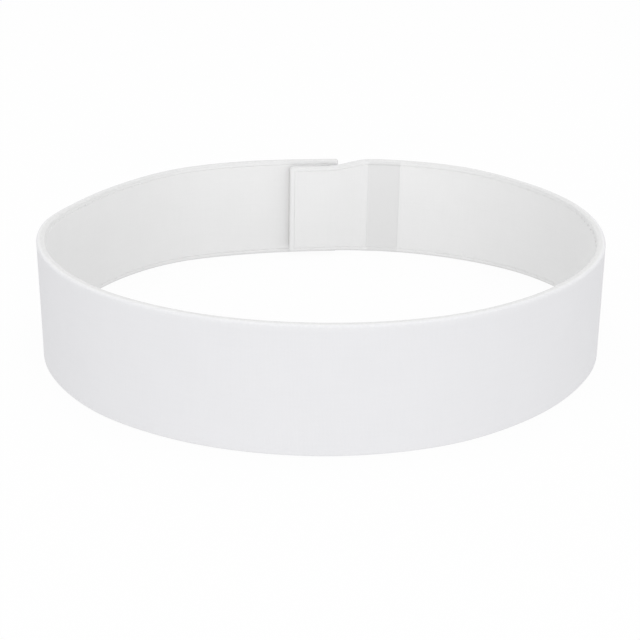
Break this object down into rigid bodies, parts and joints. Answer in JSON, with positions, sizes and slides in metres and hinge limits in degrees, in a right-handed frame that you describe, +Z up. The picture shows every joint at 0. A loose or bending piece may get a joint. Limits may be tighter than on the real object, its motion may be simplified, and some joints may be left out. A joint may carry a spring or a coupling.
{
  "type": "clerical collar",
  "caption": "White full-band clerical collar closed into a ring, its ends lapped and fastened at the back, standing on its lower edge",
  "frame": {"origin": "on the surface the collar stands on, under the middle of the ring", "axes": "+Z up, plain front of the ring towards -Y, lap of the ring at +Y, +X to the right when the front faces the viewer"},
  "size_m": [0.1602, 0.159, 0.032],
  "materials": {
    "cover_cloth": "smooth white stiffened cloth, matte with a faint sheen",
    "lining_cloth": "plain-woven white cotton, matte",
    "fastening_tape": "white hook-and-loop pile, matte"
  },
  "bodies": {
    "root": {"outer_band": "cover_cloth", "lining": "lining_cloth", "end_facing": "lining_cloth", "fastening_pad": "fastening_tape"}
  },
  "joints": []
}
